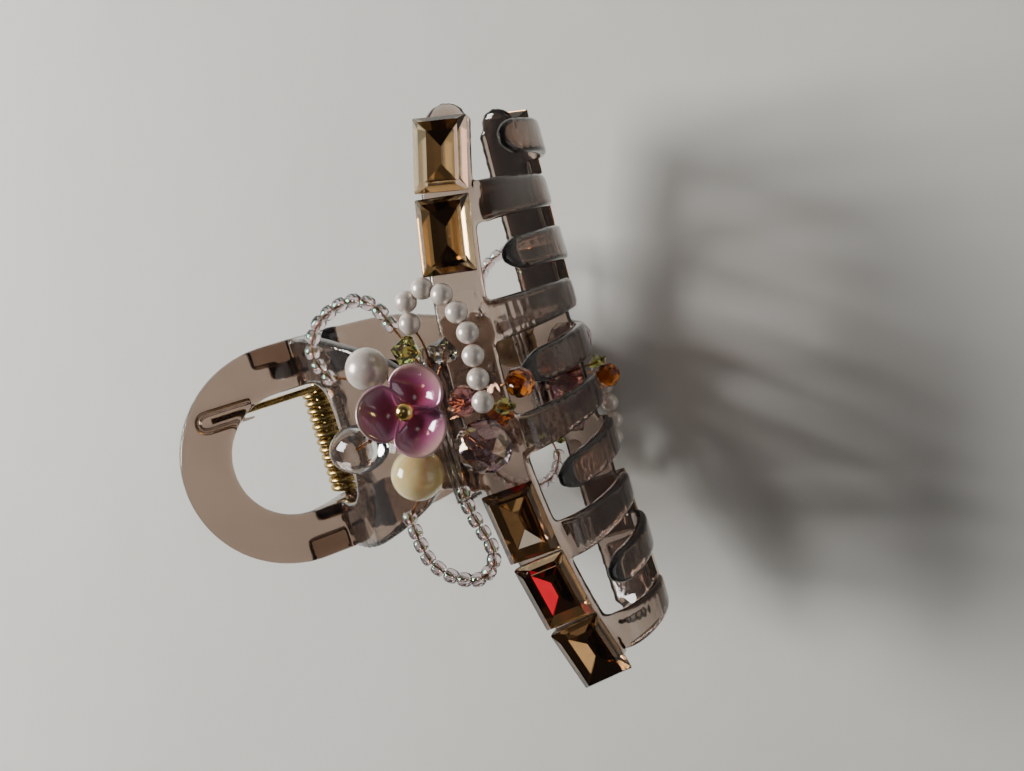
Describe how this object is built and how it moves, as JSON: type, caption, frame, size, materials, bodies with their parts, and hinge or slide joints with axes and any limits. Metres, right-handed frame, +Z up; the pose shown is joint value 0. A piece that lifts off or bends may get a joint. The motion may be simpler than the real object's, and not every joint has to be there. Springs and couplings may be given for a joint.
{
  "type": "claw hair clip",
  "caption": "Large spring claw hair clip: two hinged plastic jaws with ring handles and interlocking teeth, rows of foiled rectangular stones and a wired flower and bead cluster",
  "frame": {"origin": "middle of the clip's footprint at its lowest point, with the clip lying on its back jaw", "axes": "X along the hinge and the stone rows, Y from the teeth to the handles, Z up out of the front jaw"},
  "size_m": [0.1146, 0.0844, 0.0844],
  "materials": {
    "plastic": "glossy smoky mauve-brown translucent moulding",
    "foiled_stone": "faceted rectangular stone with a champagne-brown foiled back",
    "spring_metal": "dull yellow-brass wire",
    "gold_metal": "bright gold-coloured bead",
    "petal": "iridescent purple-pink cupped petals with pale rims",
    "pearl": "white imitation pearl",
    "clear_glass": "clear faceted glass",
    "yellow_glass": "milky pale yellow round bead",
    "purple_glass": "smoky purple faceted bead with a blue-white sheen",
    "rose_glass": "dusky rose faceted bead",
    "green_glass": "yellow-green faceted bicone",
    "amber_glass": "dark amber faceted crystal",
    "seed_bead": "small transparent beads with a rainbow coating on a pale wire"
  },
  "bodies": {
    "back_jaw": {"back_frame": "plastic", "back_bar": "plastic", "back_tooth_1": "plastic", "back_tooth_2": "plastic", "back_tooth_3": "plastic", "back_tooth_4": "plastic", "back_tooth_5": "plastic", "back_stone_short_row_1": "foiled_stone", "back_stone_short_row_2": "foiled_stone", "back_stone_long_row_1": "foiled_stone", "back_stone_long_row_2": "foiled_stone", "back_stone_long_row_3": "foiled_stone", "back_flower": "petal", "back_flower_centre": "gold_metal", "back_large_pearl": "pearl", "back_clear_drop": "clear_glass", "back_yellow_bead": "yellow_glass", "back_purple_drop": "purple_glass", "back_rose_bead": "rose_glass", "back_green_bead": "green_glass", "back_small_green_bead": "green_glass", "back_clear_bead": "clear_glass", "back_amber_front_bead": "amber_glass", "back_amber_rear_bead": "amber_glass", "back_pearl_loop": "pearl", "back_short_seed_loop": "seed_bead", "back_long_seed_loop": "seed_bead", "back_binding_wire": "spring_metal", "spring_back_leg": "spring_metal", "hinge_pin": "spring_metal"},
    "front_jaw": {"front_frame": "plastic", "front_bar": "plastic", "front_tooth_1": "plastic", "front_tooth_2": "plastic", "front_tooth_3": "plastic", "front_tooth_4": "plastic", "front_tooth_5": "plastic", "front_stone_short_row_1": "foiled_stone", "front_stone_short_row_2": "foiled_stone", "front_stone_long_row_1": "foiled_stone", "front_stone_long_row_2": "foiled_stone", "front_stone_long_row_3": "foiled_stone", "front_flower": "petal", "front_flower_centre": "gold_metal", "front_large_pearl": "pearl", "front_clear_drop": "clear_glass", "front_yellow_bead": "yellow_glass", "front_purple_drop": "purple_glass", "front_rose_bead": "rose_glass", "front_green_bead": "green_glass", "front_small_green_bead": "green_glass", "front_clear_bead": "clear_glass", "front_amber_front_bead": "amber_glass", "front_amber_rear_bead": "amber_glass", "front_pearl_loop": "pearl", "front_short_seed_loop": "seed_bead", "front_long_seed_loop": "seed_bead", "front_binding_wire": "spring_metal", "spring_coil": "spring_metal"}
  },
  "joints": [
    {"name": "jaw_hinge", "type": "hinge", "parent": "back_jaw", "child": "front_jaw", "pos_m": [0, 0.0221, 0.04219], "axis": [-1, 0, 0], "range_deg": [0, 80], "stiffness_Nm_per_rad": 0.15, "springref_deg": -51.57}
  ]
}
